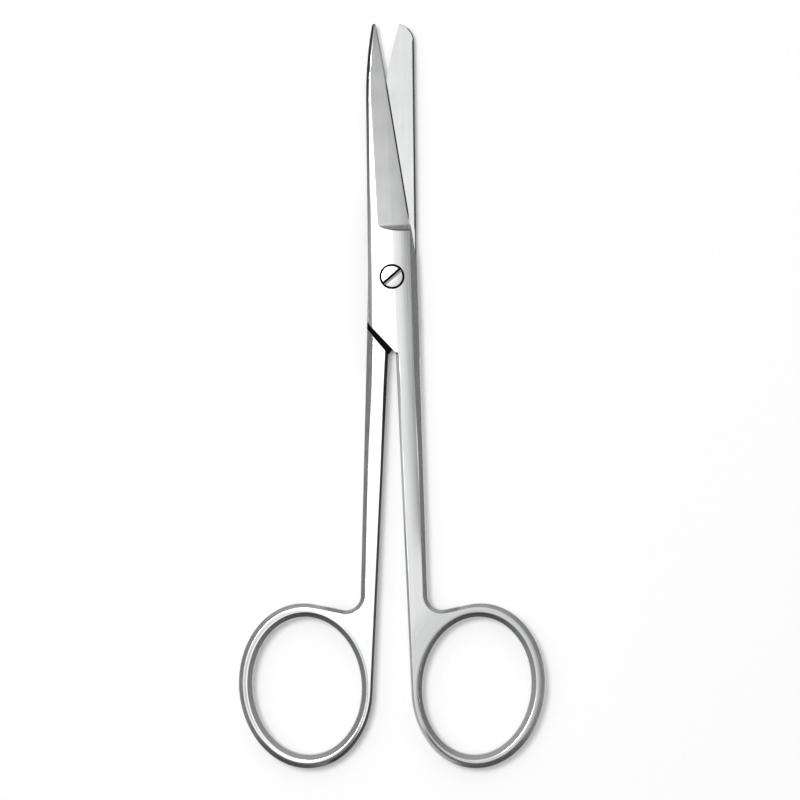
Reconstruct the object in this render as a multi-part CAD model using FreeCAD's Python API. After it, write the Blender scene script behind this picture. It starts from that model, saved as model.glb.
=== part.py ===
# Dressing scissors: a straight pair, one tip sharp and one blunt, 145 mm long, in satin polished steel.
# Two forged halves cross in a lap joint and turn on a slotted shoulder screw.
# The screw's axis is Z through the origin, the blades point along +Y, and the pair lies flat with the
# underside of its joint on z = 0. All sizes are in millimetres and all angles in degrees.
import FreeCAD, Part
import math
import os
from FreeCAD import Vector

# Joint, where the halves cross
joint_thickness = 4.2        # both halves together
lap_gap = 0.04               # running gap between the two lapped faces
lap_tail = 9.0               # from the axis back to the corner of the lapped part
lap_slant = 49.2             # the lapped part's end slants this much from the X axis
corner_radius = 0.9          # of the lapped part's corner, seen from above
stop_gap_outer = 0.55        # from that end to the other half's shoulder when closed, at the side
stop_gap_inner = 0.2         # the same at the middle of the pair
shoulder_break = 0.1         # depth and width of the break along that shoulder's rim

# Rest: the pair lies open by this angle
resting_opening = 5.3

# Blades
blade_length = 49.35         # from the axis to the tips
blade_tip_thickness = 0.9    # of one blade
taper_start = 5.0            # a blade thins from here on
spine_bevel = 0.55           # along the back of joint and blade
spine_break = 0.22           # along the back's inner edge
edge_start = 3.0             # the cutting edge leaves the joint's side here
edge_land = 0.12             # thickness left at the cutting edge
grind_end = 8.75             # the ground bevel ends here, towards the joint
grind_radius = 1.6           # of the grinding wheel's run-out
strip_at_joint = 2.05        # flat strip left along the spine beside the bevel
strip_at_tip = 0.4
tip_length = 2.5             # over this last length the bevel runs straight out
tip_rounding = 0.37          # of each tip, seen from above

# Shanks and finger rings
shank_thickness = 3.7
thinning_start = 17.0        # back from the axis, where the joint's thickness goes over into the shank's
thinning_end = 38.0
meeting_gap = 0.05           # from the middle of the closed pair to a shank's inner side
ring_distance = 80.3         # from the axis back to a ring's middle
ring_opening_length = 26.8
ring_opening_width = 21.2
ring_end_wall = 2.7          # of the ring at the opening's two ends
ring_side_wall = 2.4         # and on average beside it
ring_opening_shift = 0.3     # the opening lies this much off the ring's middle, towards the shank
ring_tilt = 7.5              # the ring's long axis leans outwards
crotch_drop = 1.6            # the crotch between shank and ring lies this far below the ring's top
crotch_radius = 2.8

# Bevels of the handles: how deep below the shank's face, and how wide there
bevel_depth = 0.7
outer_bevel = 0.9            # along the outer sides of joint and shank
inner_bevel = 0.4            # along the inner sides, which face each other
shoulder_bevel = 0.75        # over the ring's shoulder
ring_bevel = 0.85            # round the rest of the ring
opening_bevel = 1.0          # round the ring's opening
arris_rounding = 0.2         # where a bevel meets a flat

# Pivot screw
screw_head_radius = 2.15
screw_head_height = 0.8
screw_head_bevel = 0.15
screw_head_recess = 0.05     # the head's face below the joint's face
head_clearance = 0.27        # round the head in its counterbore
head_float = 0.03            # under the head, so that the halves turn
shoulder_radius = 1.5
shoulder_clearance = 0.04    # round the shoulder in the upper half's bore
thread_radius = 1.2
thread_clearance = 0.01
slot_width = 0.6
slot_depth = 0.4
slot_angle = 38.0            # from the X axis, as the screw was left when it was set

# Working values
overrun = 5.0                # cutting bodies run this far past what they cut
sideways = 60.0              # and reach this far to either side
bevel_overrun = 0.4          # the ground surface is drawn on past the bevel by this share of its width
lap_root = 1.2               # the lapped plate is let this far into the shank beside it
upright_cosine = 0.9         # an edge this near to Z counts as upright
across_cosine = 0.999        # and one this near to X as lying across a face
touching = 0.01              # points as near as this are one point
half_joint = joint_thickness / 2
half_shank = shank_thickness / 2
lap_face = lap_gap / 2
ring_length = ring_opening_length + 2 * ring_end_wall
ring_width = ring_opening_width + 2 * ring_side_wall
ring_crotch = ring_distance - ring_length / 2 + crotch_drop
bevel_foot = half_shank - bevel_depth
bevel_reach = (half_joint - bevel_foot) / bevel_depth
counterbore_floor = half_joint - screw_head_recess - screw_head_height - head_float
UP = Vector(0, 0, 1)
ACROSS = Vector(1, 0, 0)


class Half:
    """What differs between the halves. Both are drawn closed, back of the blade at -X, ring at +X."""

    def __init__(self, back_corner, back_turn, edge_turn, edge_tip, side_at_axis, side_at_ring, nose_radius):
        self.back_corner = back_corner    # x of the back at the lapped part's corner
        self.back_turn = Vector(*back_turn, 0)    # where the back ends its straight run
        self.edge_turn = Vector(*edge_turn, 0)    # where the cutting edge ends its straight run
        self.edge_tip = Vector(edge_tip, blade_length, 0)
        self.side_at_axis = side_at_axis  # x of the outer side beside the axis
        self.side_at_ring = side_at_ring  # x of the outer side where the ring begins
        self.nose_radius = nose_radius    # of a blunt tip, and 0 for a sharp one

    def side(self, y):
        """The point of the straight outer side at y, anywhere from the blade to the ring."""
        ring_start = -ring_distance + ring_length / 2
        slope = (self.side_at_ring - self.side_at_axis) / ring_start
        return Vector(self.side_at_axis + slope * y, y, 0)

    def lap_end(self, x):
        """The point of the lapped part's slanting end at x."""
        slant = math.tan(math.radians(lap_slant))
        return Vector(x, -lap_tail - (x - self.back_corner) * slant, 0)


sharp = Half(back_corner=-4.97, back_turn=(-3.46, 34.5), edge_turn=(1.14, 34.3), edge_tip=-0.84,
             side_at_axis=4.87, side_at_ring=4.0, nose_radius=0)
blunt = Half(back_corner=-5.3, back_turn=(-2.81, 34.5), edge_turn=(3.3, 33.0), edge_tip=0.93,
             side_at_axis=4.63, side_at_ring=3.2, nose_radius=3.6)
bevel_sections = 6           # along the ground bevel


def line(start, end):
    return Part.LineSegment(start, end).toShape()


def polygon(points):
    return [line(a, b) for a, b in zip(points, points[1:] + points[:1])]


def tangent_arc(start, direction, end):
    """The arc that leaves start along direction and ends in end."""
    chord = end - start
    normal = UP.cross(direction).normalize()
    radius = chord.dot(chord) / (2 * chord.dot(normal))
    centre = start + normal * radius
    to_middle = ((start + end) * 0.5 - centre).normalize() * abs(radius)
    return Part.Arc(start, centre + to_middle, end).toShape()


def slab(edges, bottom, top):
    """The plan made of these edges, as a plate between two heights."""
    plate = Part.Face(Part.Wire(Part.__sortEdges__(edges))).extrude(UP * (top - bottom))
    plate.translate(UP * bottom)
    return plate


def cylinder(radius, bottom, top):
    return Part.makeCylinder(radius, top - bottom, UP * bottom)


def x_at(edges, y):
    """x where a line of the plan crosses y."""
    level = line(Vector(-sideways, y, 0), Vector(sideways, y, 0))
    nearest = min((edge.distToShape(level) for edge in edges), key=lambda found: found[0])
    return nearest[1][0][0].x


def middle_of(edge):
    return edge.valueAt((edge.FirstParameter + edge.LastParameter) / 2)


def rim(solid):
    """The edges that run along a plate's outline, without its corners and the lines across its faces."""
    edges = []
    for edge in solid.Edges:
        along = edge.tangentAt((edge.FirstParameter + edge.LastParameter) / 2)
        if abs(along.z) < upright_cosine and abs(along.x) < across_cosine:
            edges.append(edge)
    return edges


def corner_arc(before, corner, after, radius):
    """The arc that rounds a corner of the plan between two lines, and its two ends."""
    back = (before - corner).normalize()
    on = (after - corner).normalize()
    half_angle = back.getAngle(on) / 2
    middle = corner + (back + on).normalize() * (radius / math.sin(half_angle))
    start = corner + back * (radius / math.tan(half_angle))
    end = corner + on * (radius / math.tan(half_angle))
    halfway = middle + (corner - middle).normalize() * radius
    return Part.Arc(start, halfway, end).toShape(), start, end


# Side view

def taper_radius():
    """Of the long arc that thins a blade from the joint to its tip."""
    thinning = half_joint - blade_tip_thickness
    reach = blade_length - taper_start
    return (reach ** 2 + thinning ** 2) / (2 * thinning)


def blade_top(y):
    """Height of a blade's outer face above the lap plane."""
    radius = taper_radius()
    return half_joint - radius + math.sqrt(radius ** 2 - max(y - taper_start, 0.0) ** 2)


def side_view():
    """The pair's side view as a solid: thinning blades, joint, and shanks that ease to their thickness."""
    front = blade_length + overrun
    back = -ring_distance - ring_length
    ease = -(thinning_start + thinning_end) / 2
    edges = []
    for up in (1, -1):
        outline = [Vector(0, y, up * z) for y, z in (
            (front, blade_top(front)), ((front + taper_start) / 2, blade_top((front + taper_start) / 2)),
            (taper_start, half_joint), (-thinning_start, half_joint), (ease, half_joint),
            (ease, half_shank), (-thinning_end, half_shank), (back, half_shank))]
        bend = Part.BezierCurve()
        bend.setPoles(outline[3:7])
        edges += [Part.Arc(*outline[:3]).toShape(), line(outline[2], outline[3]), bend.toShape(),
                  line(outline[6], outline[7])]
        edges += [line(outline[0], Vector(0, front, 0)), line(outline[7], Vector(0, back, 0))]
    profile = Part.Face(Part.Wire(Part.__sortEdges__(edges))).extrude(ACROSS * 2 * sideways)
    profile.translate(ACROSS * -sideways)
    return profile


# Shank and finger ring

def ring_axes(length, width):
    """The half axes of an oval that leans as the ring does."""
    lean = math.radians(ring_tilt)
    long_axis = Vector(math.sin(lean), math.cos(lean), 0)
    return long_axis * (length / 2), UP.cross(long_axis) * (width / 2)


def oval(middle, axes):
    long_axis, wide_axis = axes
    if wide_axis.Length > long_axis.Length:
        long_axis, wide_axis = wide_axis, long_axis * -1
    return Part.Ellipse(middle + long_axis, middle + wide_axis, middle)


def side_point(axes):
    """From an oval's middle to its point nearest the middle of the pair."""
    long_axis, wide_axis = axes
    reach = math.hypot(long_axis.x, wide_axis.x)
    return (long_axis * long_axis.x + wide_axis * wide_axis.x) * (-1 / reach)


def touch_point(point, middle, axes):
    """Where a straight line from a point touches an oval at its top."""
    long_axis, wide_axis = axes
    away = point - middle
    along = away.dot(long_axis) / long_axis.Length ** 2
    across = away.dot(wide_axis) / wide_axis.Length ** 2
    turn = math.atan2(across, along) - math.acos(1 / math.hypot(along, across))
    return middle + long_axis * math.cos(turn) + wide_axis * math.sin(turn)


def ring(share):
    """The middle and the half axes of the ring's outline, drawn in by a share of its bevels."""
    axes = ring_axes(ring_length - share * (shoulder_bevel + ring_bevel),
                     ring_width - share * (inner_bevel + ring_bevel))
    x = meeting_gap + share * inner_bevel - side_point(axes).x
    return Vector(x, -ring_distance + share * (ring_bevel - shoulder_bevel) / 2, 0), axes


def handle_outline(half, share, z):
    """Outline of shank and ring at a height, drawn in by a share of the bevels."""
    middle, axes = ring(share)
    inner_top = Vector(meeting_gap + share * inner_bevel, -lap_tail, 0)
    outer_top = half.side(-lap_tail) - ACROSS * share * outer_bevel
    crotch = half.side(-ring_crotch) - Vector(outer_bevel, shoulder_bevel, 0) * share
    shoulder = touch_point(crotch, middle, axes)
    inner_end = middle + side_point(axes)
    outline = oval(middle, axes)
    first, last = outline.parameter(inner_end), outline.parameter(shoulder)
    around = outline.toShape(first, last if last > first else last + 2 * math.pi)
    bend, start, end = corner_arc(outer_top, crotch, shoulder, crotch_radius + share * outer_bevel)
    wire = Part.Wire([line(inner_top, outer_top), line(outer_top, start), bend, line(end, shoulder),
                      around.reversed(), line(inner_end, inner_top)])
    wire.translate(UP * z)
    return wire


def opening_outline(share, z):
    """Outline of the ring's opening at a height, widened by a share of its bevel."""
    middle = ring(0)[0] - ACROSS * ring_opening_shift
    wider = 2 * share * opening_bevel
    axes = ring_axes(ring_opening_length + wider, ring_opening_width + wider)
    wire = Part.Wire([oval(middle, axes).toShape()])
    wire.translate(UP * z)
    return wire


def handle(half):
    """Shank and ring at full thickness, up to where they are inside the joint."""
    levels = [(bevel_reach, -half_joint), (0, -bevel_foot), (0, bevel_foot), (bevel_reach, half_joint)]
    solid = Part.makeLoft([handle_outline(half, share, z) for share, z in levels], True, True)
    opening = Part.makeLoft([opening_outline(share, z) for share, z in levels], True, True)
    solid = solid.common(side_view()).cut(opening).Solids[0]
    arrises = [edge for edge in rim(solid) if edge.BoundBox.ZLength < bevel_depth / 2]
    return solid.makeFillet(arris_rounding, arrises)


def side_waste(half):
    """What is cut off along the joint's outer side, in line with the shank's bevel."""
    slope = Vector(-outer_bevel, 0, bevel_depth)
    foot = half.side(-ring_distance) + UP * bevel_foot
    low, high = foot - slope, foot + slope * (bevel_reach + 1)
    section = polygon([low, high, high + ACROSS * overrun, low + ACROSS * overrun])
    along = half.side(blade_length + overrun) - half.side(-ring_distance)
    return Part.Face(Part.Wire(section)).extrude(along)


# Lapped half of the joint and its blade

def back_plan(half):
    """The back of a blade, from the lapped part's corner to the tip."""
    corner = half.lap_end(half.back_corner)
    along = (half.back_turn - corner).normalize()
    if not half.nose_radius:
        tip = half.edge_tip - ACROSS * 2 * tip_rounding
        return [line(corner, half.back_turn), tangent_arc(half.back_turn, along, tip)]
    square = UP.cross(along)
    middle_y = blade_length - half.nose_radius
    foot_y = middle_y + square.y * half.nose_radius
    foot = corner + along * ((foot_y - corner.y) / along.y)
    middle = foot - square * half.nose_radius
    top = middle + Vector(0, half.nose_radius, 0)
    halfway = middle + ((foot + top) * 0.5 - middle).normalize() * half.nose_radius
    return [line(corner, foot), Part.Arc(foot, halfway, top).toShape()]


def edge_plan(half):
    """The cutting edge, from outside the joint's side to the tip."""
    start = half.side(edge_start)
    along = (half.edge_turn - start).normalize()
    return [line(start - along, half.edge_turn), tangent_arc(half.edge_turn, along, edge_end(half))]


def edge_end(half):
    """Where the cutting edge goes over into the tip's rounding."""
    return half.edge_tip - Vector(0, tip_rounding, 0)


def tip_plan(half):
    """The rounding over the tip: a quarter turn into a blunt nose, and a half turn round a sharp point."""
    start = edge_end(half)
    top = start + Vector(-tip_rounding, tip_rounding, 0)
    middle = Vector(top.x, start.y, 0)
    if half.nose_radius:
        halfway = middle + (start + top - middle * 2).normalize() * tip_rounding
        return Part.Arc(start, halfway, top).toShape()
    return Part.Arc(start, top, middle - ACROSS * tip_rounding).toShape()


def blade_waste(half):
    """What is trimmed from the blank beyond the cutting edge and the tip."""
    edge = edge_plan(half)
    start = edge[0].valueAt(edge[0].FirstParameter)
    over = tip_plan(half)
    end = over.valueAt(over.LastParameter)
    far = Vector(sideways, blade_length + overrun, 0)
    around = [end, Vector(-far.x, end.y, 0), Vector(-far.x, far.y, 0), far, Vector(far.x, start.y, 0), start]
    rest = [line(a, b) for a, b in zip(around, around[1:])]
    return slab(edge + [over] + rest, -joint_thickness, joint_thickness)


def bevel_section(half, share):
    """The ground bevel's section at a share of its length, falling from the spine's strip to the edge."""
    y = grind_end + share * (edge_end(half).y - tip_length - grind_end)
    strip = strip_at_joint + share * (strip_at_tip - strip_at_joint)
    high = Vector(x_at(back_plan(half), y) + strip, y, blade_top(y))
    low = Vector(x_at(edge_plan(half), y), y, lap_face + edge_land)
    past = (low - high) * bevel_overrun
    above, below = high - past, low + past
    return [above, below, Vector(overrun + below.x, y, below.z), Vector(overrun + below.x, y, above.z)]


def bevel_waste(half):
    """What the wheel grinds off a blade, with its rounded run-out beside the joint."""
    sections = [bevel_section(half, step / bevel_sections) for step in range(bevel_sections + 1)]
    beyond = [last * 2 - before for before, last in zip(*sections[-2:])]
    wires = [Part.Wire(polygon(section)) for section in sections + [beyond]]
    waste = Part.makeLoft(wires, True, False)
    above, below = sections[0][:2]
    slope = [edge for edge in waste.Edges if (middle_of(edge) - (above + below) * 0.5).Length < touching]
    return waste.makeFillet(grind_radius, slope)


def lapped_blade(half):
    """The half of the joint's thickness that crosses over, with the blade."""
    corner = half.lap_end(half.back_corner)
    foot = half.lap_end(meeting_gap + lap_root)
    side_foot = half.side(foot.y)
    side_end = half.side(blade_length + overrun)
    back = back_plan(half)
    tip = back[-1].valueAt(back[-1].LastParameter)
    plan = back + [line(tip, side_end), line(side_end, side_foot), line(side_foot, foot), line(foot, corner)]
    solid = slab(plan, lap_face, joint_thickness).common(side_view()).Solids[0]
    solid = solid.makeChamfer(spine_bevel, [edge for edge in spine(solid, back) if not on_lap_face(edge)])
    solid = solid.makeChamfer(spine_break, [edge for edge in spine(solid, back) if on_lap_face(edge)])
    bend, start, end = corner_arc(foot, corner, half.back_turn, corner_radius)
    tail = slab([bend, line(start, corner), line(corner, end)], -joint_thickness, joint_thickness)
    return solid.cut(tail).cut(side_waste(half)).cut(blade_waste(half)).cut(bevel_waste(half))


def spine(solid, back):
    """The edges that stand over the plan's lines along the back."""
    edges = []
    for edge in rim(solid):
        point = middle_of(edge)
        if min(Part.Vertex(point.x, point.y, 0).distToShape(part)[0] for part in back) < touching:
            edges.append(edge)
    return edges


def on_lap_face(edge):
    return middle_of(edge).z < lap_face + touching


def lap_waste(half, other):
    """The room for the other half's lapped part, down to the shoulder that it faces when closed."""
    turn = math.radians(lap_slant)
    away = Vector(math.sin(turn), -math.cos(turn), 0)
    outer = other.lap_end(other.back_corner)
    inner = other.lap_end(meeting_gap)
    outer = Vector(-outer.x, outer.y, 0) + away * stop_gap_outer
    inner = Vector(-inner.x, inner.y, 0) + away * stop_gap_inner
    beyond = (outer - inner) * 0.5
    low, high = inner - beyond, outer + beyond
    plan = polygon([low, high, Vector(high.x, 0, 0), Vector(low.x, 0, 0)])
    fall = (away - UP) * shoulder_break
    above = low - UP * (half_joint - shoulder_break) - fall
    below = above + fall * 3
    rim_section = polygon([above, below, Vector(above.x, above.y, below.z)])
    rim_waste = Part.Face(Part.Wire(rim_section)).extrude(high - low)
    return slab(plan, -joint_thickness, lap_face).fuse(rim_waste)


def forged_half(half, other):
    return handle(half).cut(lap_waste(half, other)).fuse(lapped_blade(half)).removeSplitter()


# The three pieces where they lie at rest

def upper_half():
    """The sharp half, on top: bored for the screw's shoulder and counterbored for its head."""
    solid = forged_half(sharp, blunt)
    solid = solid.cut(cylinder(shoulder_radius + shoulder_clearance, -half_joint, joint_thickness))
    solid = solid.cut(cylinder(screw_head_radius + head_clearance, counterbore_floor, joint_thickness))
    solid.rotate(Vector(), UP, resting_opening / 2)
    solid.translate(UP * half_joint)
    return solid


def lower_half():
    """The blunt half, underneath and turned over: bored for the screw's thread."""
    solid = forged_half(blunt, sharp)
    solid = solid.cut(cylinder(thread_radius + thread_clearance, -half_joint, joint_thickness))
    solid.rotate(Vector(), Vector(0, 1, 0), 180)
    solid.rotate(Vector(), UP, -resting_opening / 2)
    solid.translate(UP * half_joint)
    return solid


def pivot_screw():
    """Slotted head, shoulder that the upper half turns on, and threaded end, flush with the underside."""
    head_top = joint_thickness - screw_head_recess
    head_under = head_top - screw_head_height
    shoulder_end = half_joint - lap_face
    head = cylinder(screw_head_radius, head_under, head_top)
    crown = [edge for edge in head.Edges if edge.Closed and middle_of(edge).z > head_top - touching]
    head = head.makeChamfer(screw_head_bevel, crown)
    shank = cylinder(shoulder_radius, shoulder_end, head_under).fuse(
        cylinder(thread_radius, 0, shoulder_end))
    slot = Part.makeBox(2 * overrun, slot_width, overrun)
    slot.translate(Vector(-overrun, -slot_width / 2, head_top - slot_depth))
    slot.rotate(Vector(), UP, slot_angle)
    return head.fuse(shank).cut(slot).removeSplitter()


os.makedirs("parts", exist_ok=True)
pieces = {"upper_half": upper_half(), "lower_half": lower_half(), "pivot_screw": pivot_screw()}
for name, shape in pieces.items():
    solid = shape.Solids[0]
    print(name, len(shape.Solids), "solid,", round(solid.Volume, 1), "mm3, valid", solid.isValid())
    solid.exportStep(f"parts/{name}.step")
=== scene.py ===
# %% [markdown]
# # Dressing scissors in satin steel
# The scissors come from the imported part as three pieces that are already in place: an upper half with a
# sharp blade, a lower half with a blunt blade, and the screw they turn on. This lesson gives them their
# finish, their light and their camera. Everything is in metres, with the screw's axis on Z, the blades
# along +Y, and the pair lying flat on z = 0.

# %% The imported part
import math
import bpy
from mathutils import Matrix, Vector

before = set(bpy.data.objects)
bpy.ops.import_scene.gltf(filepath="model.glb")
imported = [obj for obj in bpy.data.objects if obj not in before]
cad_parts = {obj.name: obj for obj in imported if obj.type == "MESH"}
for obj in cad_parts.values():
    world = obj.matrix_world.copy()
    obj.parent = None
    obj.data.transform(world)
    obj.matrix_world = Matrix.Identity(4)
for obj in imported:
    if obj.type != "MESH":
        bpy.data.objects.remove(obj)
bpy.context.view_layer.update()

# %% [markdown]
# ## The camera
# The photograph looks straight down, from so far away that nothing leans. A long lens high above the pair
# does the same. The picture is square, so the sensor's width over the lens gives how much the picture
# takes in: 155.5 mm at the height of the steel.

# %% Camera above the pair
pixels = 800
metres_per_pixel = 0.19437e-3
pivot_pixel = (392.0, 276.5)
camera_height = 0.9
face_height = 0.004
camera_data = bpy.data.cameras.new("camera")
camera = bpy.data.objects.new("camera", camera_data)
bpy.context.scene.collection.objects.link(camera)
camera_data.sensor_width = 36.0
camera_data.lens = 36.0 * (camera_height - face_height) / (pixels * metres_per_pixel)
camera.location = ((pixels / 2 - pivot_pixel[0]) * metres_per_pixel,
                   (pivot_pixel[1] - pixels / 2) * metres_per_pixel, camera_height)
bpy.context.scene.camera = camera
bpy.context.scene.view_settings.view_transform = "Standard"
print("lens:", round(camera_data.lens, 1), "mm")

# %% [markdown]
# ## Writing materials as sums
# A material is a graph of nodes, and a graph is hard to read in code. This small class wraps one socket of
# a graph, so that an ordinary expression such as `0.3 + 0.1 * grain` adds the Math nodes for it. The `node`
# method adds any other node: its type, its settings, then what goes into its sockets.


# %% A socket that can be calculated with
class Value:
    def __init__(self, tree, socket):
        self.tree = tree
        self.socket = socket

    def node(self, kind, settings=None, **inputs):
        """Adds a node to the graph, and gives its outputs as Values by name."""
        made = self.tree.nodes.new(kind)
        for name, setting in (settings or {}).items():
            if name == "stops":
                set_stops(made, setting)
            else:
                setattr(made, name, setting)
        for name, given in inputs.items():
            key = int(name[1:]) if name[1:].isdigit() else name.replace("_", " ")
            connect(self.tree, made.inputs[key], given)
        return {output.name: Value(self.tree, output) for output in made.outputs if output.enabled}

    def math(self, operation, *operands):
        inputs = {f"i{place}": operand for place, operand in enumerate(operands)}
        return self.node("ShaderNodeMath", {"operation": operation}, **inputs)["Value"]

    def __add__(self, other):
        return self.math("ADD", self, other)

    def __radd__(self, other):
        return self.math("ADD", other, self)

    def __sub__(self, other):
        return self.math("SUBTRACT", self, other)

    def __rsub__(self, other):
        return self.math("SUBTRACT", other, self)

    def __mul__(self, other):
        return self.math("MULTIPLY", self, other)

    def __rmul__(self, other):
        return self.math("MULTIPLY", other, self)

    def __truediv__(self, other):
        return self.math("DIVIDE", self, other)

    def __rtruediv__(self, other):
        return self.math("DIVIDE", other, self)

    def size(self):
        """The value without its sign."""
        return self.math("ABSOLUTE", self)

    def root(self):
        return self.math("SQRT", self)

    def at_least(self, least):
        return self.math("MAXIMUM", self, least)

    def at_most(self, most):
        return self.math("MINIMUM", self, most)

    def above(self, low, high):
        """0 below low and 1 above high, with a smooth step between them."""
        settings = {"interpolation_type": "SMOOTHSTEP"}
        return self.node("ShaderNodeMapRange", settings, Value=self, From_Min=low, From_Max=high)["Result"]

    def below(self, low, high):
        return 1.0 - self.above(low, high)

    def toward(self, other, share):
        """Goes over to the other value as the share rises from 0 to 1."""
        return self + (other - self) * share


def connect(tree, socket, given):
    """Puts a Value or a plain number into a socket."""
    if isinstance(given, Value):
        tree.links.new(given.socket, socket)
    else:
        socket.default_value = given


def set_stops(ramp, stops):
    """Writes (position, grey) pairs into a Color Ramp node."""
    elements = ramp.color_ramp.elements
    while len(elements) < len(stops):
        elements.new(0.5)
    for element, (position, grey) in zip(elements, stops):
        element.position = position
        element.color = (grey, grey, grey, 1.0)


print("class Value: + - * / size root at_least at_most above below toward")

# %% [markdown]
# ## A half's own coordinates
# The finish follows the shape: its lines run along the shank and around the ring, and it changes from the
# polished faces to the ground bevels. So each half needs coordinates of its own, x outwards from the
# middle of the closed pair and y towards the tips. A Mapping node turns Object coordinates back by the
# half's share of the opening, and the ring gets a distance from its middle that follows its oval.

# %% Sizes that the finish follows, in metres
half_opening = math.radians(2.65)
ring_middle = (0.01311, -0.0803)
ring_lean = math.radians(7.5)
ring_narrowness = 0.8
ring_reach = (0.0172, 0.0222)
crown_radius = 0.0149
line_radius = 0.0145
print("ring middle:", ring_middle, "half the opening:", round(math.degrees(half_opening), 2))


# %% The drawing of a half, as sockets
class Drawing:
    def __init__(self, tree, side):
        start = Value(tree, None)
        place = start.node("ShaderNodeTexCoord")
        turned = start.node("ShaderNodeMapping", Vector=place["Object"],
                            Rotation=(0.0, 0.0, -side * half_opening))["Vector"]
        parts = start.node("ShaderNodeSeparateXYZ", Vector=turned)
        facing = start.node("ShaderNodeSeparateXYZ", Vector=place["Normal"])
        self.start = start
        self.side = side
        self.place = turned
        self.x = side * parts["X"]
        self.y = parts["Y"]
        self.z = parts["Z"]
        self.level = facing["Z"].size()
        self.outward = side * facing["X"]
        self.onward = facing["Y"]
        self.find_ring()

    def find_ring(self):
        u = self.x - ring_middle[0]
        v = self.y - ring_middle[1]
        along = u * math.sin(ring_lean) + v * math.cos(ring_lean)
        across = (u * math.cos(ring_lean) - v * math.sin(ring_lean)) * (1 / ring_narrowness)
        self.radius = (along * along + across * across).root()
        self.on_ring = self.radius.below(*ring_reach)
        self.round_along = along / self.radius
        self.round_across = across / self.radius

    def distance(self, x, y):
        across = self.x - x
        along = self.y - y
        return (across * across + along * along).root()

    def noise(self, place, scale, detail):
        return self.start.node("ShaderNodeTexNoise", Vector=place, Scale=scale, Detail=detail)["Fac"]

    def lines(self, per_metre, stretch):
        """Fine lines, 0 to 1: straight along the shank and blade, and bent round the ring."""
        straight = self.start.node("ShaderNodeCombineXYZ", X=self.x * per_metre,
                                   Y=self.y * (per_metre / stretch), Z=self.z * per_metre)["Vector"]
        turns = line_radius * per_metre / stretch
        bent = self.start.node("ShaderNodeCombineXYZ", X=self.round_across * turns,
                               Y=self.round_along * turns, Z=self.radius * per_metre)["Vector"]
        return self.noise(straight, 1.0, 2.0).toward(self.noise(bent, 1.0, 2.0), self.on_ring)

    def cloud(self, per_metre):
        return self.noise(self.place, per_metre, 3.0)


print("class Drawing: x y z, level outward onward, radius on_ring, distance lines cloud")

# %% [markdown]
# ## Satin steel
# Surgical steel is ground, polished and last brushed to a satin face. It is one metal all over, so its own
# colour hardly changes, and most of the changes of colour below are painted light and shade. What really
# changes is how rough it is: the faces are smooth, the bevels carry coarser lines from the belt, the blade's
# ground bevel is matt and a little cloudy, with painted light on it, and the arrises are rubbed smoother by
# hands and trays, with a painted highlight on them.


# %% Helpers for a finish
def new_material(name):
    material = bpy.data.materials.new(name)
    material.use_nodes = True
    tree = material.node_tree
    return material, tree, tree.nodes["Principled BSDF"]


def grey(start, shade):
    """A nearly neutral steel colour, a trace cooler than grey."""
    colour = start.node("ShaderNodeCombineColor", Red=shade * 0.995, Green=shade, Blue=shade * 1.005)
    return colour["Color"]


def finish(tree, shader, start, shade, roughness, height):
    """Metal of this shade and roughness, whose height in metres tilts it by the real amount."""
    shader.inputs["Metallic"].default_value = 1.0
    connect(tree, shader.inputs["Base Color"], grey(start, shade))
    connect(tree, shader.inputs["Roughness"], roughness)
    bump = start.node("ShaderNodeBump", Height=height, Strength=1.0, Distance=1.0)
    connect(tree, shader.inputs["Normal"], bump["Normal"])


print("helpers: new_material, grey, finish")

# %% [markdown]
# ## Masks
# A mask is a value that is 1 on one kind of surface and 0 elsewhere. Here each is a product of smooth
# steps: how much the surface faces up (level), outwards or onwards to the tips, and where it lies. Every
# step runs from one number to another, because a hard edge would show as a staircase.

# %% Where parts of a half begin and end, in metres
blade_start = (0.0085, 0.0095)
joint_end = (-0.0095, -0.0085)
lap_end = (-0.0125, -0.012)
gap_start = (-0.0093, -0.0088)
gap_end = (-0.02, -0.019)
tip_start = (0.0385, 0.0415)
crotch_place = (0.0066, -0.0654)
lap_heights = (0.0018, 0.0019, 0.0023, 0.0025)
print("a blade starts", blade_start[0] * 1000, "mm ahead of the screw")


# %% Where each kind of surface is
def surfaces(half):
    """Masks, 0 to 1, from how a surface faces and where it is."""
    ahead = half.y.above(*blade_start)
    tilted = half.level.below(0.9, 0.97)
    outer_side = tilted * half.radius.above(crown_radius, crown_radius + 0.0002)
    side_bevel = half.level.above(0.1, 0.25) * outer_side * half.y.below(*joint_end)
    return {
        "tilted": tilted,
        "ground": ahead * half.outward.above(0.1, 0.2) * half.level.above(0.45, 0.6),
        "run_out": half.y.above(0.0075, 0.0085) * half.onward.above(0.12, 0.4),
        "arris": (1.0 - ahead) * half.level.above(0.85, 0.9) * half.level.below(0.97, 0.99),
        "opening": half.radius.below(crown_radius, crown_radius + 0.0002) * tilted,
        "back": half.level.above(0.1, 0.25) * half.outward.below(-0.2, -0.08)
                * half.x.below(-0.001, -0.0004) * half.y.above(*lap_end),
        "inner": side_bevel * half.outward.below(-0.35, -0.15) * half.x.above(-0.0025, -0.002),
        "near": side_bevel * half.onward.below(-0.5, -0.25),
        "low_rim": half.radius.above(crown_radius + 0.00005, crown_radius + 0.00015)
                   * half.round_along.below(-0.75, -0.5) * half.on_ring * (1.0 - tilted),
        # Where brushed streaks and painted shade darken the outer part of the shank's face.
        "side_grain_and_shade": half.x.above(0.0016, 0.0036) * (1.0 - ahead) * (1.0 - tilted)
                     * half.y.above(-0.062, -0.05),
        "crotch": outer_side * half.distance(*crotch_place).below(0.0025, 0.0045),
    }
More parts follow.
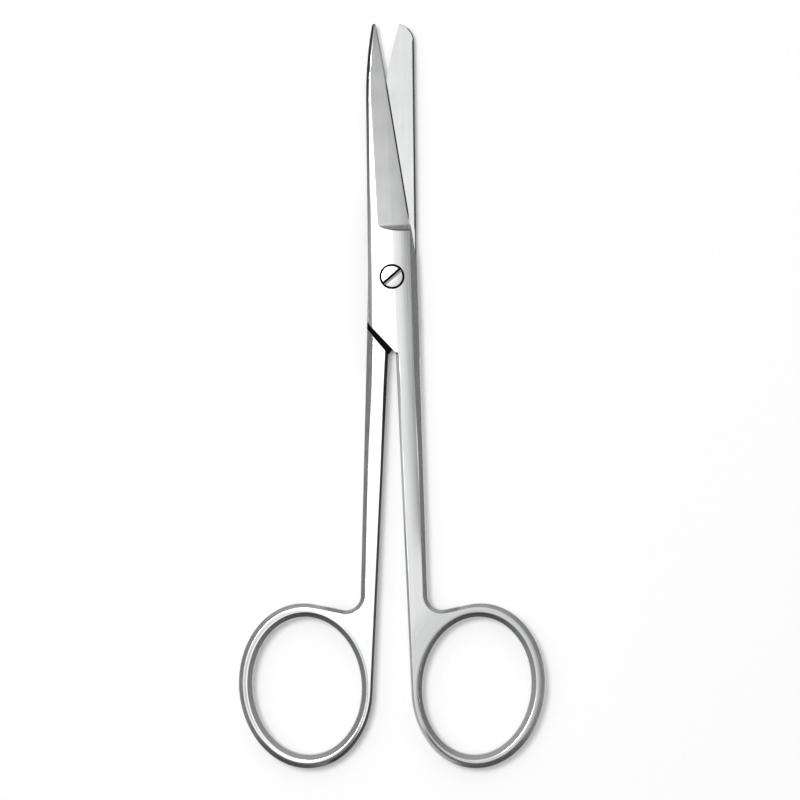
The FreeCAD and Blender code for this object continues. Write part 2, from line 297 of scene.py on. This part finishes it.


# %% A painted dark line of shade along the thin cutting edge
def edge_shade_line(half):
    """Painted shade: 1 along the last third of a millimetre before the sharp edge, bent in towards its tip.
    """
    bend = (half.y - 0.0343).at_least(0.0)
    edge = 0.00491 - 0.12045 * (half.y - 0.003) - 0.984 * bend * bend
    beside = (half.x - (edge - 0.00032)).above(0.0, 0.00006) * half.y.above(0.0105, 0.0125)
    return beside * (1.0 - 0.6 * half.y.above(0.036, 0.04))


# %% The blades' backs
def past_sharp_back(half):
    """Metres from the line where the sharp blade's face ends at its back, which bends in at the tip."""
    bend = 0.085 * (half.y - 0.0379).at_least(0.0) + 0.04 * (half.y - 0.0435).at_least(0.0)
    return half.x - (0.0346 * half.y + bend - 0.004106)


def past_blunt_back(half):
    """The same for the blunt blade, whose back is straight."""
    return half.x - (0.0575 * half.y - 0.00457)


def bright_strip(half):
    """1 on the narrow strip that the belt leaves beside the sharp blade's back near the tip."""
    beside = past_sharp_back(half).below(0.0002, 0.00028)
    return beside * half.y.above(*tip_start) * half.outward.above(0.1, 0.2)


# %% Painted shade in the lap joint's gaps
def gap_shade_mask(half):
    """Painted shade: 1 in the counterbore round the screw, on the lapped face along the shoulder, on its
    wall.
    """
    bore = half.distance(0.0, 0.0).below(0.00243, 0.00246)
    lap = half.z.above(*lap_heights[:2]) * half.z.below(*lap_heights[2:]) * half.level.above(0.9, 0.95)
    off_shoulder = half.y + 0.01505 - 1.058 * half.x
    lap = lap * off_shoulder.below(0.002, 0.0024)
    wall = half.level.below(0.2, 0.5) * half.onward.size().above(0.3, 0.5)
    return bore.math("MAXIMUM", bore, (lap + wall) * half.y.above(*gap_end) * half.y.below(*gap_start))


print("masks: surfaces, edge_shade_line, bright_strip, oil")

# %% [markdown]
# ## Shades of the two halves
# The shade is the metal's Base Color, and it starts near 0.8 everywhere. Much of what changes it is painted
# light and shade: bevels that face away from the light are darkened, the arrises get a painted highlight,
# and parts of the faces are darkened where polished steel would mirror a dark part of the room. What only
# one half has is added in a function of its own: on the sharp half, painted light on the ground bevel, a
# painted dark line along its edge, and painted shade on its run-out and beside its back; on the blunt one,
# the blade's inner face darkened towards the tip, and painted dark lines along its back and the lap.


# %% What both halves share
def common_shade(half, on, grain, ring_shade):
    streaks, cloud = grain["streaks"], grain["cloud"]
    shade = 0.8 + 0.09 * (streaks - 0.5) + 0.03 * (cloud - 0.5)
    shade = shade - on["tilted"] * (0.02 + 0.3 * (streaks - 0.5))
    # Painted shade on the opening's bevels and on the bevels facing the viewer; painted highlight on the
    # arrises.
    shade = shade - on["opening"] * 0.16 - on["near"] * 0.36 + on["arris"] * 0.12 * half.cloud(900.0)
    # Painted shade: the rings' level faces are darkened, by a factor of their own for each half.
    shade = shade * (1.0 + (ring_shade - 1.0) * half.on_ring * half.level.above(0.9, 0.97))
    # Painted shade round the crotch, and a painted dark line along the outer edge of the ring's face on the
    # near side.
    return (shade - on["crotch"] * 0.35) * (1.0 - 0.75 * on["low_rim"])


# %% What only the sharp half has
def sharp_shade(half, on, grain, shade):
    # Painted shade: a dark line along the cutting edge.
    edge = on["ground"] * edge_shade_line(half)
    cloudy = 0.08 * (grain["cloud"] - 0.5) + 0.08 * (grain["fine"] - 0.5)
    # Painted light on the ground bevel, less towards the tip, with a cloudy tone of its own.
    ground_light_and_cloud = 0.15 - 0.1 * half.y.above(0.012, 0.047) + cloudy
    # Painted shade on the grind's run-out.
    shade = (shade + on["ground"] * ground_light_and_cloud) * (1.0 - 0.97 * edge) - 0.5 * on["run_out"]
    # Painted shade: a dark band along the face's edge beside the blade's back, at the joint.
    painted_back_shade = past_sharp_back(half).below(0.00014, 0.00024) * half.y.below(0.012, 0.02)
    shade = shade * (1.0 - 0.68 * painted_back_shade * half.y.above(*lap_end))
    # Brushed streaks, with painted shade, on the outer part of the shank's face.
    return shade - on["side_grain_and_shade"] * 0.7 * (grain["streaks"] - 0.42)


# %% What only the blunt half has
def blunt_shade(half, shade):
    # Painted shade: the blade's face is darker towards the tip.
    shade = shade * (1.0 - 0.06 * half.y.above(0.009, 0.011) - 0.1 * half.y.above(0.015, 0.045))
    # Painted shade: a dark line along the blade's back.
    rim = past_blunt_back(half).below(0.0001, 0.00017) * half.y.above(0.0085, 0.01)
    shade = shade * (1.0 - 0.95 * rim * half.y.below(0.046, 0.0465))
    # Painted shade on the rim of the lapped face at the joint.
    lap_rim = half.x.above(0.0036, 0.004) * half.z.below(*lap_heights[2:]) * half.y.above(*gap_end)
    return shade * (1.0 - 0.7 * lap_rim * half.y.below(0.009, 0.0095))


print("shades: common, sharp, blunt")

# %% [markdown]
# ## Crowns
# A hand-held belt never leaves a face quite flat. A crown of a few hundredths of a millimetre is too low
# to see as a shape, but polished metal shows it at once, because each part of the face then mirrors
# another part of the room. The crowns below are heights in metres for the Bump node.


# %% The crown of a ring
def ring_crown(half):
    """A ring's face is rounded over from rim to rim, and it leans a little to the right all round."""
    off_middle = (half.radius - crown_radius).at_least(-0.00045).at_most(0.00035)
    lean = off_middle * half.round_across * (-0.08 * half.side)
    return (lean - off_middle * off_middle * 90.0) * half.on_ring


# %% The crown of the sharp half's faces
def upper_crown(half):
    """Falls away outwards, more and more towards its bevel, and evenly once the shank bends out."""
    width = 0.00325 + 0.0137 * half.y.at_least(-0.022)
    past = (half.x - 0.0004).at_least(0.0).at_most(width)
    straight = past * past * past * -7000.0 - past * 0.05
    bent = half.x * -0.055
    back = half.y.below(-0.058, -0.045)
    inner_rim = (half.x - 0.00052).at_least(-0.00047).at_most(0.0) * -1.1
    inner_rim = inner_rim * (1.0 - back) * half.y.below(-0.0152, -0.0146)
    tip = past_sharp_back(half).at_least(0.0).at_most(0.00022) * 0.55 * half.y.above(*tip_start)
    return straight.toward(bent, back) + inner_rim + tip + ring_crown(half)


# %% The crown of the blunt half's faces
def lower_crown(half):
    """The shank tips outwards and the blade's inner face the other way, so both lean with the light."""
    return half.x * (0.075 * half.y.above(-0.01, 0.005) - 0.02) + ring_crown(half)


print("crowns in metres of height: ring, upper, lower")

# %% [markdown]
# ## One half's steel
# Everything meets here. The bevels along a blade's back and along a shank's inner side get a painted shade
# of their own, painted shade darkens the gaps of the joint, and three heights are summed: fine lines,
# streaks and the crown.


# %% One half's steel
def half_steel(name, side, crown, back_shades, inner_shade, ring_shade, sharp):
    material, tree, shader = new_material(name)
    half = Drawing(tree, side)
    on = surfaces(half)
    fine, streaks = half.lines(5200.0, 45.0), half.lines(1700.0, 40.0)
    cloud = half.cloud(260.0)
    grain = {"fine": fine, "streaks": streaks, "cloud": cloud}
    shade = common_shade(half, on, grain, ring_shade)
    if sharp:
        on["ground"] = on["ground"] * (1.0 - bright_strip(half))
        shade = sharp_shade(half, on, grain, shade)
    else:
        shade = blunt_shade(half, shade)
    at_joint, at_tip = back_shades
    # Painted shade along the blades' backs, from its value at the joint to its value at the tip, with
    # streaks.
    back_shade = at_joint + (at_tip - at_joint) * half.y.above(0.0, 0.045) + 0.15 * (streaks - 0.5)
    painted_gap_shade = gap_shade_mask(half)
    # Painted shade on the back bevels and on the shanks' inner bevels.
    shade = shade.toward(back_shade, on["back"]).toward(inner_shade, on["inner"])
    # Painted shade in the joint's gaps.
    shade = shade.toward(0.004, painted_gap_shade).at_least(0.004)
    roughness = 0.2 + 0.08 * (fine - 0.5) + 0.05 * (cloud - 0.5) + 0.3 * painted_gap_shade
    roughness = roughness + on["tilted"] * (0.06 + 0.12 * (streaks - 0.5)) - on["arris"] * 0.04
    roughness = roughness + on["ground"] * (0.24 + 0.06 * (cloud - 0.5)) + on["inner"] * 0.4 * inner_shade
    height = 0.9e-6 * fine + 1.6e-6 * streaks + crown(half)
    finish(tree, shader, half.start, shade, roughness, height)
    return material


print("half_steel is ready")

# %% [markdown]
# ## The screw
# The screw's head is turned on a lathe, so its lines are circles round the axis, and its face is slightly
# domed. Its slot and the gap around it get painted shade, and so do the rims on both sides of the slot.
# Painted light lifts the near half of the slot's floor and its near rim a little; the far ones stay nearly
# black.

# %% Sizes of the screw that its finish follows
slot_turn = math.radians(38.0 + 2.65)
# The painted dark rims beside the slot run between these distances across it.
slot_rims = (-0.00042, -0.00036, 0.00046, 0.00054)
print("the slot's dark rims reach", slot_rims[0] * 1000, "to", slot_rims[3] * 1000, "mm")


# %% Turned steel of the screw
def screw_steel(name):
    material, tree, shader = new_material(name)
    start = Value(tree, None)
    place = start.node("ShaderNodeTexCoord")
    parts = start.node("ShaderNodeSeparateXYZ", Vector=place["Object"])
    facing = start.node("ShaderNodeSeparateXYZ", Vector=place["Normal"])
    away = (parts["X"] * parts["X"] + parts["Y"] * parts["Y"]).root()
    rings = start.node("ShaderNodeCombineXYZ", X=away * 9000.0, Y=parts["Z"] * 2000.0)["Vector"]
    turning = start.node("ShaderNodeTexNoise", Vector=rings, Scale=1.0, Detail=2.0)["Fac"]
    cloud = start.node("ShaderNodeTexNoise", Vector=place["Object"], Scale=700.0, Detail=2.0)["Fac"]
    # Painted shade in the slot and in the gap round the head.
    painted_gap_shade = parts["Z"].below(0.0038, 0.00395)
    across_slot = parts["X"] * math.sin(slot_turn) - parts["Y"] * math.cos(slot_turn)
    # Painted light on the near half of the slot; painted dark rims on both sides of it, the near one
    # lighter.
    lit = across_slot.above(0.00004, 0.0001)
    rim = across_slot.above(*slot_rims[:2]) * across_slot.below(*slot_rims[2:])
    floor_light = 0.14 * facing["Z"].above(0.9, 0.99) * painted_gap_shade * lit
    shade = 0.78 + 0.08 * (turning - 0.5) + 0.06 * (cloud - 0.5)
    shade = shade * (1.0 - 0.98 * painted_gap_shade) * (1.0 - rim * (0.97 - 0.3 * lit)) + floor_light
    roughness = 0.2 + 0.1 * (turning - 0.5) + 0.2 * painted_gap_shade
    height = 0.6e-6 * turning - away * away * 26.0 * (1.0 - painted_gap_shade)
    finish(tree, shader, start, shade, roughness, height)
    return material


print("screw_steel is ready")

# %% Finishes on the three pieces
finishes = {
    # After each crown come the painted shades: along the backs at the joint and at the tip, on the inner
    # bevels, and the factor for the rings' faces.
    "upper_half": half_steel("satin_steel_upper", 1.0, upper_crown, (0.55, 0.05), 0.65, 0.85, True),
    "lower_half": half_steel("satin_steel_lower", -1.0, lower_crown, (0.08, 0.08), 0.06, 0.95, False),
    "pivot_screw": screw_steel("turned_steel"),
}
for node, material in finishes.items():
    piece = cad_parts[node]
    piece.data.materials.clear()
    piece.data.materials.append(material)
print("finished:", sorted(finishes))

# %% [markdown]
# ## Floor
# The pair lies on white paper. The paper is a little under pure white, so that it takes the soft shadow,
# and a trace of its own light towards the camera brings the rest of it up to the photograph's white.

# %% White paper
paper_glow = 0.14
bpy.ops.mesh.primitive_plane_add(size=4.0, location=(0.0, 0.0, 0.0))
floor = bpy.context.object
floor.name = "floor"
paper, paper_tree, paper_shader = new_material("white_paper")
paper_shader.inputs["Base Color"].default_value = (0.88, 0.88, 0.88, 1.0)
paper_shader.inputs["Roughness"].default_value = 0.9
paper_shader.inputs["Specular IOR Level"].default_value = 0.1
paper_start = Value(paper_tree, None)
rays = paper_start.node("ShaderNodeLightPath")
seen = rays["Is Camera Ray"] + rays["Is Glossy Ray"] + rays["Is Transmission Ray"]
own_light = paper_start.node("ShaderNodeCombineColor", Red=seen * paper_glow, Green=seen * paper_glow,
                             Blue=seen * paper_glow)
connect(paper_tree, paper_shader.inputs["Emission Color"], own_light["Color"])
paper_shader.inputs["Emission Strength"].default_value = 1.0
floor.data.materials.append(paper)
print("floor:", tuple(floor.dimensions))

# %% [markdown]
# ## Light
# Polished metal shows its surroundings more than itself. Looked at from straight above, a level face shows
# what is overhead, and a bevel shows what lies low beyond its own side. So the room is drawn as the
# photographer's tent: bright overhead, greyer low down, darker to the right and darkest towards the
# viewer. Each side has its own ramp from overhead (0) to the horizon (1).

# %% The tent around the pair
tent_level = 1.2
tent = {
    "left": [(0.0, 0.92), (0.45, 0.9), (0.65, 0.62), (0.93, 0.3), (1.0, 0.04)],
    "right": [(0.0, 0.92), (0.1, 0.76), (0.3, 0.44), (0.48, 0.33), (0.58, 0.45), (0.83, 0.38), (0.93, 0.24),
              (1.0, 0.03)],
    "far": [(0.0, 0.92), (0.5, 0.75), (0.9, 0.42), (0.98, 0.36), (1.0, 0.06)],
    "near": [(0.0, 0.92), (0.15, 0.8), (0.3, 0.6), (0.6, 0.34), (0.93, 0.08), (1.0, 0.02)],
}
world = bpy.data.worlds.new("tent")
bpy.context.scene.world = world
world.use_nodes = True
sky = Value(world.node_tree, None)
toward = sky.node("ShaderNodeSeparateXYZ", Vector=sky.node("ShaderNodeTexCoord")["Generated"])
flat_part = toward["X"] * toward["X"] + toward["Y"] * toward["Y"]
low = flat_part.root()
print("tent:", {side: len(stops) for side, stops in tent.items()})


# %% The tent's light by direction
def toward_side(amount):
    """How much a direction points to one side, 0 to 1. The four sides add up to 1."""
    part = amount.at_least(0.0)
    return part * part / flat_part.at_least(1e-6)


shares = {"left": toward_side(-1.0 * toward["X"]), "right": toward_side(toward["X"]),
          "far": toward_side(toward["Y"]), "near": toward_side(-1.0 * toward["Y"])}
glow = 0.0
for side, share in shares.items():
    shade = sky.node("ShaderNodeValToRGB", {"stops": tent[side]}, Fac=low)["Color"]
    glow = glow + share * shade
background = world.node_tree.nodes["Background"]
connect(world.node_tree, background.inputs["Color"], sky.node("ShaderNodeCombineColor", Red=glow, Green=glow,
                                                              Blue=glow)["Color"])
background.inputs["Strength"].default_value = tent_level
print("tent nodes:", len(world.node_tree.nodes))

# %% [markdown]
# One small softbox high on the left gives the shadow its side. It is near the camera's own direction, so
# the shadow stays short, and large enough that the shadow's edge is soft.


# %% Softbox
def softbox(name, place, size, watts):
    data = bpy.data.lights.new(name, "AREA")
    data.shape = "SQUARE"
    data.size = size
    data.energy = watts
    lamp = bpy.data.objects.new(name, data)
    lamp.location = place
    lamp.rotation_euler = (-Vector(place)).to_track_quat("-Z", "Y").to_euler()
    bpy.context.scene.collection.objects.link(lamp)
    return lamp


softbox("key", (-0.3, 0.2, 1.15), 0.35, 6.8)
